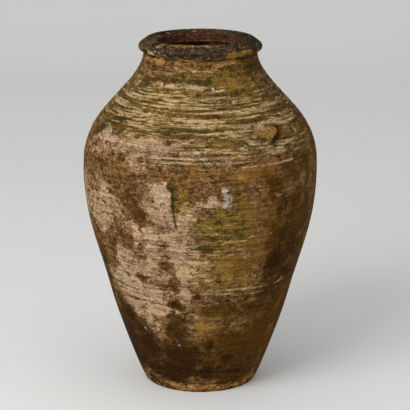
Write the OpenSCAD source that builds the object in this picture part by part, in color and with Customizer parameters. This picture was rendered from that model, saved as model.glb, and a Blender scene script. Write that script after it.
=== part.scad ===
// Large round-shouldered storage jar of unglazed clay, thrown in rings that are
// luted one on another, with a flat foot and a heavy rolled rim.
// +Z is up. The origin is the middle of the foot, on the ground.

/* [Section heights] */
// Thickness of the flat slab under the jar, seen as the bare band at the foot
base_slab_h = 26; // [18:1:34]
// Height of the leaning wall that stands on the slab
lower_wall_h = 224; // [170:1:280]
// Height of the ring below the widest part
lower_belly_h = 205; // [160:1:250]
// Height of the ring that holds the widest part
upper_belly_h = 200; // [160:1:240]
// Height of the shoulder ring
shoulder_h = 113; // [95:1:140]
// Height of the neck ring
neck_h = 44; // [32:1:60]

/* [Outside diameters] */
// Outside diameter where the foot meets the ground
foot_d = 275; // [230:1:320]
// Outside diameter at the joint of the lower wall and the lower belly
lower_joint_d = 450; // [400:1:500]
// Outside diameter at the joint of the lower and the upper belly
belly_joint_d = 555; // [510:1:600]
// Outside diameter at the joint of the upper belly and the shoulder
shoulder_joint_d = 497; // [450:1:530]
// Outside diameter at the joint of the shoulder and the neck
neck_joint_d = 307; // [290:1:340]
// Outside diameter where the neck carries the rim
neck_top_d = 271; // [262:1:280]

/* [Wall leans] */
// Lean of the wall at the ground, in degrees outwards from upright
foot_lean = 22.4; // [14:0.1:30]
// Outward lean at the lower joint
lower_joint_lean = 14.7; // [8:0.1:20]
// Outward lean at the belly joint
belly_joint_lean = 6.5; // [0:0.1:12]
// Inward lean at the shoulder joint
shoulder_joint_lean = 34.7; // [28:0.1:42]
// Inward lean at the neck joint
neck_joint_lean = 33.7; // [26:0.1:40]
// Inward lean at the top of the neck
neck_top_lean = 9.6; // [0:0.1:16]

/* [Clay] */
// Thickness of the wall, square to its face
wall_t = 18; // [14:0.5:22]
// Height of the upstand on each ring that the next ring fits round
lap_h = 6; // [4:0.5:8]
// Thickness of the slip between the upright faces of a joint
slip_t = 0.3; // [0.2:0.05:0.5]
// Width and height of the worn corner under the foot
foot_chamfer = 3; // [1:0.5:6]

/* [Rim] */
// Height of the rim above the top of the neck
rim_h = 38; // [34:1:46]
// How far the rim stands out past the top of the neck
rim_overhang = 13; // [9:0.5:18]
// Width of the rim, from its widest line in to the throat
rim_w = 47; // [42:1:54]
// Distance from the rim's widest line in to the crest, its highest line
crest_inset = 25; // [22:0.5:27]
// Height of the straight throat below the mouth's inner edge
throat_h = 18; // [12:1:19]
// Height of the rim's widest line above the top of the neck
rim_nose_z = 16.5; // [14:0.5:19]
// Radius of the rim's outer roll
rim_nose_r = 11; // [8:0.5:12]
// Radius of the rounded crest
crest_r = 10; // [6:0.5:12]
// Radius of the mouth's inner edge
mouth_edge_r = 4; // [2:0.5:5]
// Drop from the crest to the mouth's inner edge
mouth_drop = 7; // [5:0.5:10]

/* [Shoulder patch] */
// Direction of the pressed-on patch, in degrees from the front towards +X
patch_azimuth = 42; // [0:1:359]
// Height of the patch's middle above the shoulder joint
patch_rise = -4; // [-20:1:30]
// Diameter of the patch
patch_d = 62; // [40:1:80]
// How far the patch stands proud of the wall
patch_proud = 6; // [3:0.5:10]

/* [Hidden] */

// Facets round a circle, and the longest step along a wall's curve
$fn = 180;
curve_step = 14;
arc_steps = 8;

// Heights of the joints above the ground
lower_wall_z = base_slab_h;
lower_joint_z = lower_wall_z + lower_wall_h;
belly_joint_z = lower_joint_z + lower_belly_h;
shoulder_joint_z = belly_joint_z + upper_belly_h;
neck_joint_z = shoulder_joint_z + shoulder_h;
neck_top_z = neck_joint_z + neck_h;

// The outside curve passes through these stations: height, radius, slope
stations = [
    [0, foot_d / 2, tan(foot_lean)],
    [lower_joint_z, lower_joint_d / 2, tan(lower_joint_lean)],
    [belly_joint_z, belly_joint_d / 2, tan(belly_joint_lean)],
    [shoulder_joint_z, shoulder_joint_d / 2, -tan(shoulder_joint_lean)],
    [neck_joint_z, neck_joint_d / 2, -tan(neck_joint_lean)],
    [neck_top_z, neck_top_d / 2, -tan(neck_top_lean)]
];

// Number of the stretch of the curve that holds the height z
function stretch_at(z, i = 0) =
    (i >= len(stations) - 2 || z <= stations[i + 1][0]) ? i : stretch_at(z, i + 1);

// Radius on the smooth cubic between stations a and b, at the share t of its height
function cubic_r(a, b, t) =
    let (h = b[0] - a[0])
    a[1] * (2 * pow(t, 3) - 3 * pow(t, 2) + 1)
    + h * a[2] * (pow(t, 3) - 2 * pow(t, 2) + t)
    + b[1] * (3 * pow(t, 2) - 2 * pow(t, 3))
    + h * b[2] * (pow(t, 3) - pow(t, 2));

// Slope of the same cubic
function cubic_slope(a, b, t) =
    let (h = b[0] - a[0])
    (b[1] - a[1]) / h * 6 * (t - pow(t, 2))
    + a[2] * (3 * pow(t, 2) - 4 * t + 1)
    + b[2] * (3 * pow(t, 2) - 2 * t);

function share_at(z, i) =
    (z - stations[i][0]) / (stations[i + 1][0] - stations[i][0]);

// Outside radius and slope of the wall at any height up to the top of the neck
function outer_r(z) =
    let (i = stretch_at(z))
    cubic_r(stations[i], stations[i + 1], share_at(z, i));
function outer_slope(z) =
    let (i = stretch_at(z))
    cubic_slope(stations[i], stations[i + 1], share_at(z, i));

// Inside radius: the wall's thickness is measured square to its outside face
function inner_r(z) =
    let (at = min(z, neck_top_z))
    outer_r(at) - wall_t * sqrt(1 + pow(outer_slope(at), 2));

// Radius of the upright face in the joint at height z
function lap_r(z) = (outer_r(z) + inner_r(z)) / 2;

// Points along the outside from z0 up to z1, and along the inside from z1 down to z0
function steps_for(z0, z1) = ceil((z1 - z0) / curve_step);
function outside(z0, z1) = [
    for (i = [0 : steps_for(z0, z1)])
        let (z = z0 + (z1 - z0) * i / steps_for(z0, z1))
        [outer_r(z), z]
];
function inside(z0, z1) = [
    for (i = [0 : steps_for(z0, z1)])
        let (z = z1 - (z1 - z0) * i / steps_for(z0, z1))
        [inner_r(z), z]
];

// The joint's step, seen from the ring below: flat ledge, upright, top of the upstand
function upstand(z) = [
    [lap_r(z) - slip_t / 2, z],
    [lap_r(z) - slip_t / 2, z + lap_h]
];
// The same step, seen from the ring above
function rebate(z) = [
    [lap_r(z) + slip_t / 2, z + lap_h],
    [lap_r(z) + slip_t / 2, z]
];

// One ring of the wall between the joints at z0 and z1
module wall_ring(z0, z1) {
    rotate_extrude()
        polygon(concat(
            outside(z0, z1),
            upstand(z1),
            inside(z0 + lap_h, z1 + lap_h),
            rebate(z0)
        ));
}

// Points of an arc about the centre c from angle a0 to a1
function arc(c, r, a0, a1) = [
    for (i = [0 : arc_steps])
        let (a = a0 + (a1 - a0) * i / arc_steps)
        [c[0] + r * cos(a), c[1] + r * sin(a)]
];
// Direction of the straight line that touches round a and then round b on the outside
function touch_angle(a, ra, b, rb) =
    (atan2(b[1] - a[1], b[0] - a[0]) + 270 + asin((ra - rb) / norm(b - a))) % 360;

// Radii of the rim's widest line and of the mouth, both carried by the neck's size
rim_r = neck_top_d / 2 + rim_overhang;
mouth_r = rim_r - rim_w;

// The outer roll leaves a narrow ledge under the rim
least_ledge = 1;
nose_r = min(rim_nose_r, rim_overhang - least_ledge);

// Centres of the rim's three rounds, as radius and height
nose_c = [rim_r - nose_r, neck_top_z + rim_nose_z];
crest_c = [rim_r - crest_inset, neck_top_z + rim_h - crest_r];
mouth_edge_c = [mouth_r + mouth_edge_r, neck_top_z + rim_h - mouth_drop - mouth_edge_r];
chamfer_angle = touch_angle(nose_c, nose_r, crest_c, crest_r);
dish_angle = touch_angle(crest_c, crest_r, mouth_edge_c, mouth_edge_r);

// Middle of the patch on the wall, and the round that it is cut from
patch_z = shoulder_joint_z + patch_rise;
patch_round_r = (pow(patch_d / 2, 2) + pow(patch_proud, 2)) / (2 * patch_proud);
patch_depth = patch_round_r - patch_proud;
patch_face = sqrt(1 + pow(outer_slope(patch_z), 2));

// Flat slab that the jar is thrown on, with the upstand for the lower wall
module base_slab() {
    color([0.62, 0.36, 0.20])
        rotate_extrude()
            polygon(concat(
                [[0, 0], [outer_r(0) - foot_chamfer, 0]],
                outside(foot_chamfer, base_slab_h),
                upstand(base_slab_h),
                [[0, base_slab_h + lap_h]]
            ));
}

// Wall that leans out from the slab
module lower_wall() {
    color([0.30, 0.21, 0.14])
        wall_ring(lower_wall_z, lower_joint_z);
}

// Ring below the widest part
module lower_belly() {
    color([0.43, 0.35, 0.26])
        wall_ring(lower_joint_z, belly_joint_z);
}

// Ring that holds the widest part
module upper_belly() {
    color([0.38, 0.32, 0.20])
        wall_ring(belly_joint_z, shoulder_joint_z);
}

// Ring that turns the wall in to the neck
module shoulder() {
    color([0.47, 0.42, 0.24])
        wall_ring(shoulder_joint_z, neck_joint_z);
}

// Short ring that carries the rim
module neck() {
    color([0.36, 0.29, 0.21])
        wall_ring(neck_joint_z, neck_top_z);
}

// Rolled rim: outer roll, sloped face, crest, dished top and straight throat
module rim() {
    color([0.27, 0.24, 0.21])
        rotate_extrude()
            polygon(concat(
                [[neck_top_d / 2, neck_top_z], [neck_top_d / 2, nose_c[1] - nose_r]],
                arc(nose_c, nose_r, -90, chamfer_angle),
                arc(crest_c, crest_r, chamfer_angle, dish_angle),
                arc(mouth_edge_c, mouth_edge_r, dish_angle, 180),
                [[mouth_r, mouth_edge_c[1] - throat_h]],
                [[inner_r(neck_top_z), neck_top_z + lap_h]],
                rebate(neck_top_z)
            ));
}

// Lump of clay pressed on the right of the shoulder and smoothed into the wall
module shoulder_patch() {
    color([0.50, 0.42, 0.25])
        difference() {
            rotate([0, 0, patch_azimuth - 90])
                translate([
                    outer_r(patch_z) - patch_depth / patch_face,
                    0,
                    patch_z + patch_depth * outer_slope(patch_z) / patch_face
                ])
                    sphere(r = patch_round_r);
            rotate_extrude()
                polygon(concat([[0, 0]], outside(0, neck_top_z), [[0, neck_top_z]]));
        }
}

base_slab();
lower_wall();
lower_belly();
upper_belly();
shoulder();
neck();
rim();
shoulder_patch();
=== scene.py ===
"""Weathered clay olive jar: the visible surfaces of a storage jar that was thrown in rings.

Lengths are in metres and angles in degrees unless a name says otherwise. +Z is up and -Y is
the front. An azimuth is counted round the jar from the front towards +X.
"""
import math

import bpy
import numpy as np
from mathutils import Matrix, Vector, noise
from mathutils.bvhtree import BVHTree


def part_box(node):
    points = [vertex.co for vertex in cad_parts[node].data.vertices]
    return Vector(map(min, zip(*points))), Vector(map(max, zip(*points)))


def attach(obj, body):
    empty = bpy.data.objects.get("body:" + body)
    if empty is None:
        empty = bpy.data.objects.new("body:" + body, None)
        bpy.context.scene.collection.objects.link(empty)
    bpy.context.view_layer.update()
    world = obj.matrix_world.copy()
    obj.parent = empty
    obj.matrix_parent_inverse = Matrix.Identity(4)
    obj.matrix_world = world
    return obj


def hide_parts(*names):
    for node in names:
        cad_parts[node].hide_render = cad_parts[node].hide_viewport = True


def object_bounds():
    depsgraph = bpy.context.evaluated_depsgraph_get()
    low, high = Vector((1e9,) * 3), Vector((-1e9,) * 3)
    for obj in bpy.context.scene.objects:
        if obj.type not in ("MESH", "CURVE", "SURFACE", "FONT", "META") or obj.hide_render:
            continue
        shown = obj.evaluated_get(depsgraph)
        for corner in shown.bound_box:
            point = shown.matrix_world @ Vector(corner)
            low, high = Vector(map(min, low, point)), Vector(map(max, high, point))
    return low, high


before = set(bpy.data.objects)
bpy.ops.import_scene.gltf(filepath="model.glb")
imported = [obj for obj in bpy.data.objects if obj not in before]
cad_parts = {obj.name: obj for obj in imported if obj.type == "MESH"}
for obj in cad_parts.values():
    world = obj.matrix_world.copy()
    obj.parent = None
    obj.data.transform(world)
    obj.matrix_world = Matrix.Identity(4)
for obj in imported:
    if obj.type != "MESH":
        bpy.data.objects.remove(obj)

bl_info = {
    "name": "Weathered clay jar",
    "version": (1, 0, 0),
    "blender": (4, 5, 0),
    "location": "3D View > Sidebar > Clay Jar",
    "description": "Makes the thrown rings, rim, foot and weathered finish of a large clay jar",
    "category": "Object",
}

CAD_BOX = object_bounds()
MM = 0.001

# The rings of the wall, from the ground up
WALL_RINGS = ("lower_wall", "lower_belly", "upper_belly", "shoulder", "neck")


# Shape read from the frame

def corner_circles(node):
    """Radius and height of every vertex of a CAD node, as two arrays."""
    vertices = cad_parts[node].data.vertices
    flat = np.empty(len(vertices) * 3)
    vertices.foreach_get("co", flat)
    place = flat.reshape(-1, 3)
    return np.hypot(place[:, 0], place[:, 1]), place[:, 2]


def levels_of(node):
    """Every height at which a CAD node has vertices, with the radii found there."""
    radii, heights = corner_circles(node)
    rounded = np.round(heights, 5)
    return {float(z): radii[rounded == z] for z in np.unique(rounded)}


def wall_tree():
    """A search tree of the slab and the wall rings together."""
    points, faces = [], []
    for node in ("base_slab",) + WALL_RINGS:
        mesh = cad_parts[node].data
        start = len(points)
        points.extend(v.co.copy() for v in mesh.vertices)
        faces.extend([i + start for i in p.vertices] for p in mesh.polygons)
    return BVHTree.FromPolygons(points, faces)


def hit_radius(tree, z, from_outside):
    """Radius at which a level line first meets the wall, seen from outside or from the axis."""
    azimuth = math.radians(17)
    along = Vector((math.cos(azimuth), math.sin(azimuth), 0))
    far = 1.0
    start = Vector((0, 0, z)) + along * (far if from_outside else 0)
    place = tree.ray_cast(start, -along if from_outside else along)[0]
    return None if place is None else math.hypot(place.x, place.y)


def smooth_curve(heights, radii):
    """A function that gives radius and slope on a smooth curve through the given points."""
    slopes = np.gradient(radii, heights)

    def at(z):
        z = np.asarray(z, dtype=float)
        i = np.clip(np.searchsorted(heights, z) - 1, 0, len(heights) - 2)
        h = heights[i + 1] - heights[i]
        t = (z - heights[i]) / h
        r = (radii[i] * (2 * t**3 - 3 * t**2 + 1) + h * slopes[i] * (t**3 - 2 * t**2 + t)
             + radii[i + 1] * (3 * t**2 - 2 * t**3) + h * slopes[i + 1] * (t**3 - t**2))
        slope = ((radii[i + 1] - radii[i]) / h * 6 * (t - t**2)
                 + slopes[i] * (3 * t**2 - 4 * t + 1) + slopes[i + 1] * (3 * t**2 - 2 * t))
        return r, slope

    return at


def wall_curves():
    """The smooth outside and inside curves of the whole wall, read from the CAD nodes."""
    near = 1.0 * MM
    tree = wall_tree()
    outside, inside = {}, {}
    for node in ("base_slab",) + WALL_RINGS:
        for z, radii in levels_of(node).items():
            hit = hit_radius(tree, z, True)
            if hit is not None and radii.max() > hit - near:
                outside[z] = radii.max()
            hit = hit_radius(tree, z, False)
            if node != "base_slab" and hit is not None and radii.min() < hit + near:
                inside[z] = radii.min()
    foot_corner = min(z for z in outside if z > 0)
    outside = {z: r for z, r in outside.items() if z >= foot_corner}
    curves = []
    for points in (outside, inside):
        heights = np.array(sorted(points))
        curves.append(smooth_curve(heights, np.array([points[z] for z in heights])))
    return curves


OUTSIDE, INSIDE = wall_curves()
WIDEST = CAD_BOX[1][0] - 0.1 * MM
SLAB_LOW, SLAB_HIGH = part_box("base_slab")
RIM_LOW, RIM_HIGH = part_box("rim")
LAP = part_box("neck")[1].z - RIM_LOW.z
SLAB_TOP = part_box("lower_wall")[0].z
SHOULDER_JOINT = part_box("shoulder")[0].z
NECK_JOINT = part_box("neck")[0].z
NECK_TOP = RIM_LOW.z
INNER_LIP = min(corner[0] for corner in zip(*corner_circles("rim"))) + 6 * MM
FOOT_CORNER = min(z for z in levels_of("base_slab") if z > 0.5 * MM)


# Sizes and colours that a user would change

def length(name, text, default, top=0.1):
    """A length property in metres."""
    return bpy.props.FloatProperty(
        name=name, description=text, default=default, min=0, soft_max=top,
        precision=5, unit="LENGTH")


def colour(name, text, default):
    """A colour property."""
    return bpy.props.FloatVectorProperty(
        name=name, description=text, default=default, size=3, min=0, max=1, subtype="COLOR")


class JarShapeSettings(bpy.types.PropertyGroup):
    """How finely the jar is turned, and how deep its hand-made relief is."""

    columns: bpy.props.IntProperty(
        name="Columns", description="Faces round the jar", default=480, min=48, max=900)
    row_step: length("Row step", "Height of a row of faces outside", 2.2 * MM)
    ring_row_step: length("Ring row step", "Height of a row where the rings show", 1.6 * MM)
    inner_row_step: length("Inner row step", "Height of a row of faces inside", 9 * MM)
    ring_pitch: length("Ring pitch", "Distance between two throwing rings", 11 * MM)
    ring_depth: length("Ring depth", "Depth of the throwing rings", 1.5 * MM)
    wobble_depth: length("Wobble depth", "How far the hand-made wall wanders", 1.8 * MM)
    pit_depth: length("Pit depth", "Depth of the worn pits", 0.8 * MM)


class JarColourSettings(bpy.types.PropertyGroup):
    """Colours of the fired clay and of what has grown and settled on it."""

    clay: colour("Clay", "Brown weathered clay", (0.205, 0.106, 0.036))
    mauve: colour("Mauve clay", "Brown clay with a mauve cast", (0.190, 0.102, 0.042))
    umber: colour("Umber", "Dark specks in the brown clay", (0.060, 0.028, 0.010))
    tan: colour("Tan", "Pale flecks in the brown clay", (0.330, 0.205, 0.095))
    terracotta: colour("Terracotta", "Bare fired clay", (0.275, 0.122, 0.033))
    sand: colour("Sand", "Pale grains in the bare clay", (0.470, 0.270, 0.095))
    rust: colour("Rust", "Orange-brown stain", (0.215, 0.096, 0.018))
    # Mustard also paints a highlight along the top edge of the rim at the front
    mustard: colour("Mustard", "Golden lichen stain", (0.300, 0.172, 0.036))
    # Chestnut also paints shade in the mark's hollow
    chestnut: colour("Chestnut", "Warm dark stain", (0.056, 0.022, 0.002))
    # Chocolate also paints shade: along the bottom edge of the foot, in the mark's hollow and along the gash
    chocolate: colour("Chocolate", "Dark earth stain", (0.027, 0.0105, 0.0035))
    olive: colour("Olive", "Olive algae", (0.165, 0.105, 0.018))
    moss: colour("Moss", "Dark olive-grey growth", (0.046, 0.034, 0.008))
    # Lime, thin lime, straw and cream also paint a highlight along the top edge of the rim at the front
    lime: colour("Lime", "Pale pinkish lime crust", (0.440, 0.295, 0.180))
    thin_lime: colour("Thin lime", "Lime worn thin over the clay", (0.295, 0.175, 0.084))
    straw: colour("Straw", "Thin lime stained by algae", (0.300, 0.200, 0.080))
    cream: colour("Cream", "Cream lime on the throwing rings", (0.460, 0.325, 0.165))
    # Chalk also paints a pale blue-white highlight on the belly
    chalk: colour("Chalk", "Blue-white chalky bloom", (0.520, 0.450, 0.380))
    charcoal: colour("Charcoal", "Dark weathering of the rim", (0.026, 0.020, 0.013))
    smoke: colour("Smoke", "Browner weathering of the rim", (0.066, 0.046, 0.024))
    maroon: colour("Maroon", "Unweathered clay inside the jar", (0.075, 0.030, 0.018))


class JarStageSettings(bpy.types.PropertyGroup):
    """Floor, lamps and camera."""

    floor: colour("Floor", "Pale floor and backdrop", (0.86, 0.86, 0.85))
    key: bpy.props.FloatProperty(
        name="Key", description="Power of the soft lamp at the left", default=108, unit="POWER")
    fill: bpy.props.FloatProperty(
        name="Fill", description="Power of the soft lamp at the right", default=15, unit="POWER")
    sky: bpy.props.FloatProperty(
        name="Sky", description="Strength of the even light", default=0.55, min=0)


def shape():
    return bpy.context.scene.jar_shape


def tone(name):
    """A colour setting with its alpha."""
    return (*getattr(bpy.context.scene.jar_colours, name), 1.0)


# Node trees

def connect(tree, value, socket):
    """Links an output to a socket, or sets the socket's own value."""
    if isinstance(value, bpy.types.NodeSocket):
        tree.links.new(value, socket)
    else:
        socket.default_value = value


def node(tree, kind, inputs=None, **settings):
    """Adds a node with its settings, and its inputs by socket name or number."""
    made = tree.nodes.new(kind)
    for key, value in settings.items():
        setattr(made, key, value)
    for key, value in (inputs or {}).items():
        connect(tree, value, made.inputs[key])
    return made


def maths(tree, operation, *values, clamp=False):
    """A Math node on one to three values."""
    made = tree.nodes.new("ShaderNodeMath")
    made.operation = operation
    made.use_clamp = clamp
    for socket, value in zip(made.inputs, values):
        connect(tree, value, socket)
    return made.outputs[0]


def ramp(tree, value, low, high, to_low=0.0, to_high=1.0):
    """Smooth step from one range to another."""
    made = node(tree, "ShaderNodeMapRange", {
        "Value": value, "From Min": low, "From Max": high,
        "To Min": to_low, "To Max": to_high}, interpolation_type="SMOOTHSTEP")
    return made.outputs["Result"]


def stretched(tree, place, stretch, shift=(0.0, 0.0, 0.0)):
    """The place scaled by a vector and moved by another."""
    scaled = node(tree, "ShaderNodeVectorMath", {0: place, 1: stretch}, operation="MULTIPLY")
    moved = node(tree, "ShaderNodeVectorMath", {0: scaled.outputs[0], 1: shift}, operation="ADD")
    return moved.outputs[0]


def noise_of(tree, place, scale, detail=2.0, roughness=0.5, distortion=0.0):
    """Noise from 0 to 1 at a place."""
    made = node(tree, "ShaderNodeTexNoise", {
        "Vector": place, "Scale": scale, "Detail": detail,
        "Roughness": roughness, "Distortion": distortion}, noise_dimensions="3D")
    return made.outputs[0]


def mix_colour(tree, factor, under, over, blend="MIX"):
    """The colour over laid on the colour under."""
    made = node(tree, "ShaderNodeMix", {0: factor, 6: under, 7: over},
                data_type="RGBA", blend_type=blend)
    return made.outputs[2]


def new_group(name, kind, inputs, outputs):
    """An empty node group with named sockets, and its two end nodes."""
    tree = bpy.data.node_groups.new(name, kind)
    for label, socket_type, default in inputs:
        socket = tree.interface.new_socket(label, in_out="INPUT", socket_type=socket_type)
        if default is not None:
            socket.default_value = default
    for label, socket_type in outputs:
        tree.interface.new_socket(label, in_out="OUTPUT", socket_type=socket_type)
    return tree, tree.nodes.new("NodeGroupInput").outputs, tree.nodes.new("NodeGroupOutput").inputs


# Turning the rings: a section is swept round the axis and takes its hand-made relief

def named(tree, name, kind="FLOAT"):
    """Reads a named attribute in a geometry tree."""
    made = node(tree, "GeometryNodeInputNamedAttribute", {"Name": name}, data_type=kind)
    return made.outputs[0]


def relief_group():
    """How far the clay lies below its drawn surface, in metres, at a place on the wall."""
    tree, given, result = new_group("Thrown relief", "GeometryNodeTree", [
        ("Place", "NodeSocketVector", None), ("Turn", "NodeSocketFloat", 0.0),
        ("Rings", "NodeSocketFloat", 1.0), ("Ring pitch", "NodeSocketFloat", 0.01),
        ("Ring depth", "NodeSocketFloat", 0.001), ("Wobble depth", "NodeSocketFloat", 0.001),
        ("Pit depth", "NodeSocketFloat", 0.001)],
        [("Depth", "NodeSocketFloat"), ("Ridge", "NodeSocketFloat")])
    place = given["Place"]
    height = node(tree, "ShaderNodeSeparateXYZ", {0: place}).outputs[2]
    wobble = noise_of(tree, stretched(tree, place, (3.0, 3.0, 5.0)), 1.0, 1.0)
    wander = noise_of(tree, stretched(tree, place, (5.0, 5.0, 12.0)), 1.0, 2.0)
    spiral = maths(tree, "ADD", maths(tree, "DIVIDE", height, given["Ring pitch"]), given["Turn"])
    phase = maths(tree, "ADD", spiral, maths(tree, "MULTIPLY", wander, 3.2))
    wave = maths(tree, "SINE", maths(tree, "MULTIPLY", phase, 2 * math.pi))
    round_wave = maths(tree, "MULTIPLY_ADD", wave, 0.5, 0.5)
    lines = ramp(tree, noise_of(tree, stretched(tree, place, (6.0, 6.0, 120.0)), 1.0, 2.0, 0.6),
                 0.34, 0.66)
    ridge = maths(tree, "MULTIPLY_ADD", round_wave, 0.38, maths(tree, "MULTIPLY", lines, 0.62))
    pits = ramp(tree, noise_of(tree, place, 75.0, 2.0), 0.56, 0.74)
    depth = maths(tree, "MULTIPLY", ramp(tree, wobble, 0.2, 0.8), given["Wobble depth"])
    ring_depth = maths(tree, "MULTIPLY", given["Rings"], given["Ring depth"])
    groove = maths(tree, "SUBTRACT", 1.0, ridge)
    depth = maths(tree, "MULTIPLY_ADD", groove, ring_depth, depth)
    depth = maths(tree, "MULTIPLY_ADD", pits, given["Pit depth"], depth)
    connect(tree, depth, result["Depth"])
    connect(tree, ridge, result["Ridge"])
    return tree


def turning_tree(relief):
    """Geometry tree that sweeps a section round the axis, sinks the relief into it and closes it."""
    tree, given, result = new_group("Thrown ring", "GeometryNodeTree", [
        ("Section", "NodeSocketGeometry", None), ("Columns", "NodeSocketInt", 480),
        ("Ring pitch", "NodeSocketFloat", 0.01), ("Ring depth", "NodeSocketFloat", 0.001),
        ("Wobble depth", "NodeSocketFloat", 0.001), ("Pit depth", "NodeSocketFloat", 0.001),
        ("Finish", "NodeSocketMaterial", None)], [("Ring", "NodeSocketGeometry")])
    circle = node(tree, "GeometryNodeCurvePrimitiveCircle", {"Resolution": given["Columns"]})
    index = tree.nodes.new("GeometryNodeInputIndex").outputs[0]
    turn = maths(tree, "DIVIDE", index, given["Columns"])
    path = node(tree, "GeometryNodeStoreNamedAttribute", {
        "Geometry": circle.outputs[0], "Name": "turn", "Value": turn}, data_type="FLOAT")
    section = node(tree, "GeometryNodeMeshToCurve", {0: given["Section"]})
    swept = node(tree, "GeometryNodeCurveToMesh", {
        "Curve": path.outputs[0], "Profile Curve": section.outputs[0]})
    angle = maths(tree, "MULTIPLY", named(tree, "turn"), 2 * math.pi)
    cosine = maths(tree, "COSINE", angle)
    sine = maths(tree, "SINE", angle)

    def round_axis(across, up):
        return node(tree, "ShaderNodeCombineXYZ", {
            0: maths(tree, "MULTIPLY", cosine, across),
            1: maths(tree, "MULTIPLY", sine, across), 2: up}).outputs[0]

    drawn = round_axis(named(tree, "section_r"), named(tree, "section_z"))
    facing = round_axis(named(tree, "facing_r"), named(tree, "facing_z"))
    placed = node(tree, "GeometryNodeSetPosition", {
        "Geometry": swept.outputs[0], "Position": drawn})
    position = tree.nodes.new("GeometryNodeInputPosition").outputs[0]
    depth = node(tree, "GeometryNodeGroup", {}, node_tree=relief)
    for label, value in (("Place", position), ("Turn", named(tree, "turn")),
                         ("Rings", named(tree, "rings")), ("Ring pitch", given["Ring pitch"]),
                         ("Ring depth", given["Ring depth"]),
                         ("Wobble depth", given["Wobble depth"]),
                         ("Pit depth", given["Pit depth"])):
        connect(tree, value, depth.inputs[label])
    sunk = maths(tree, "MULTIPLY", maths(tree, "MULTIPLY", depth.outputs[0], -1.0),
                 named(tree, "reach"))
    offset = node(tree, "ShaderNodeVectorMath", {0: facing}, operation="SCALE")
    connect(tree, sunk, offset.inputs["Scale"])
    marked = node(tree, "GeometryNodeStoreNamedAttribute", {
        "Geometry": placed.outputs[0], "Name": "ridge", "Value": depth.outputs["Ridge"]},
        data_type="FLOAT")
    for name, scale in (("small_sway", 48.0), ("large_sway", 14.0)):
        sway = node(tree, "ShaderNodeTexNoise", {
            "Vector": position, "Scale": scale, "Detail": 2.0}).outputs[1]
        marked = node(tree, "GeometryNodeStoreNamedAttribute", {
            "Geometry": marked.outputs[0], "Name": name, "Value": sway},
            data_type="FLOAT_VECTOR")
    sunk_in = node(tree, "GeometryNodeSetPosition", {
        "Geometry": marked.outputs[0], "Offset": offset.outputs[0]})
    merged = node(tree, "GeometryNodeMergeByDistance", {
        "Geometry": sunk_in.outputs[0], "Distance": 0.01 * MM})
    outward = node(tree, "GeometryNodeFlipFaces", {0: merged.outputs[0]})
    real = node(tree, "GeometryNodeRealizeInstances", {0: outward.outputs[0]})
    finished = node(tree, "GeometryNodeSetMaterial", {
        "Geometry": real.outputs[0], "Material": given["Finish"]})
    connect(tree, finished.outputs[0], result["Ring"])
    return tree


def section_of(parts, closed=True):
    """Joins stretches of (radius, height, facing, reach) into one section."""
    section = {
        "r": np.concatenate([p["r"] for p in parts]),
        "z": np.concatenate([p["z"] for p in parts]),
        "facing_r": np.concatenate([p["facing_r"] for p in parts]),
        "facing_z": np.concatenate([p["facing_z"] for p in parts]),
        "reach": np.concatenate([p["reach"] for p in parts]),
        "closed": closed,
    }
    return section


def stretch(r, z, facing_r=0.0, facing_z=0.0, reach=0.0):
    """One stretch of a section."""
    r = np.atleast_1d(np.asarray(r, dtype=float))
    return {
        "r": r,
        "z": np.broadcast_to(np.asarray(z, dtype=float), r.shape).copy(),
        "facing_r": np.broadcast_to(np.asarray(facing_r, dtype=float), r.shape).copy(),
        "facing_z": np.broadcast_to(np.asarray(facing_z, dtype=float), r.shape).copy(),
        "reach": np.broadcast_to(np.asarray(reach, dtype=float), r.shape).copy(),
    }


def along_wall(curve, low, high, step, outwards, reach):
    """Rows along the outside or the inside curve, upwards outside and downwards inside."""
    rows = max(2, math.ceil((high - low) * 1.15 / step)) + 1
    z = np.linspace(low, high, rows)
    if not outwards:
        z = z[::-1]
    r, slope = curve(z)
    size = np.sqrt(1 + slope**2)
    sign = 1 if outwards else -1
    lift = mean_relief(z) * np.clip((WIDEST - r) / (3 * MM), 0, 1) if outwards else 0 * z
    lift *= smooth_step(FOOT_CORNER, SLAB_TOP, z)
    return stretch(r + lift / size, z - lift * slope / size, sign / size, -sign * slope / size,
                   reach)


def mean_relief(z):
    """Half of the relief at a height: the drawn surface is lifted by it before it is sunk."""
    return 0.5 * (shape().wobble_depth + ring_strength(z) * shape().ring_depth)


def wall_section(name):
    """Closed section of a wall ring, with the stepped joints that it shares with its neighbours."""
    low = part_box(name)[0].z
    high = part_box(name)[1].z - LAP
    inside_reach = 0.6
    level = levels_of(name)
    step = shape().ring_row_step if low > SHOULDER_JOINT - MM else shape().row_step

    def upright(z):
        return min(level[min(level, key=lambda other: abs(other - z))])

    return section_of([
        along_wall(OUTSIDE, low, high, step, True, 1.0),
        stretch([upright(high)] * 2, [high, high + LAP]),
        along_wall(INSIDE, low + LAP, high + LAP, shape().inner_row_step, False, inside_reach),
        stretch([upright(low)] * 2, [low + LAP, low]),
    ])


def slab_section():
    """Open section of the foot slab, from the middle of its underside to the middle of its floor."""
    disc_steps = 14
    ground_r = max(levels_of("base_slab")[0.0])
    upright = min(r for r in levels_of("base_slab")[round(SLAB_HIGH.z, 5)] if r > 0.05)
    under = np.linspace(0, ground_r, disc_steps)
    floor = np.linspace(upright, 0, disc_steps)
    floor_reach = np.where(floor < upright - 20 * MM, 0.8, 0.0)
    return section_of([
        stretch(under, 0.0),
        along_wall(OUTSIDE, FOOT_CORNER, SLAB_TOP, shape().row_step * 0.8, True, 1.0),
        stretch([upright], [SLAB_TOP]),
        stretch(floor, SLAB_HIGH.z, 0.0, 1.0, floor_reach),
    ], closed=False)


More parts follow.
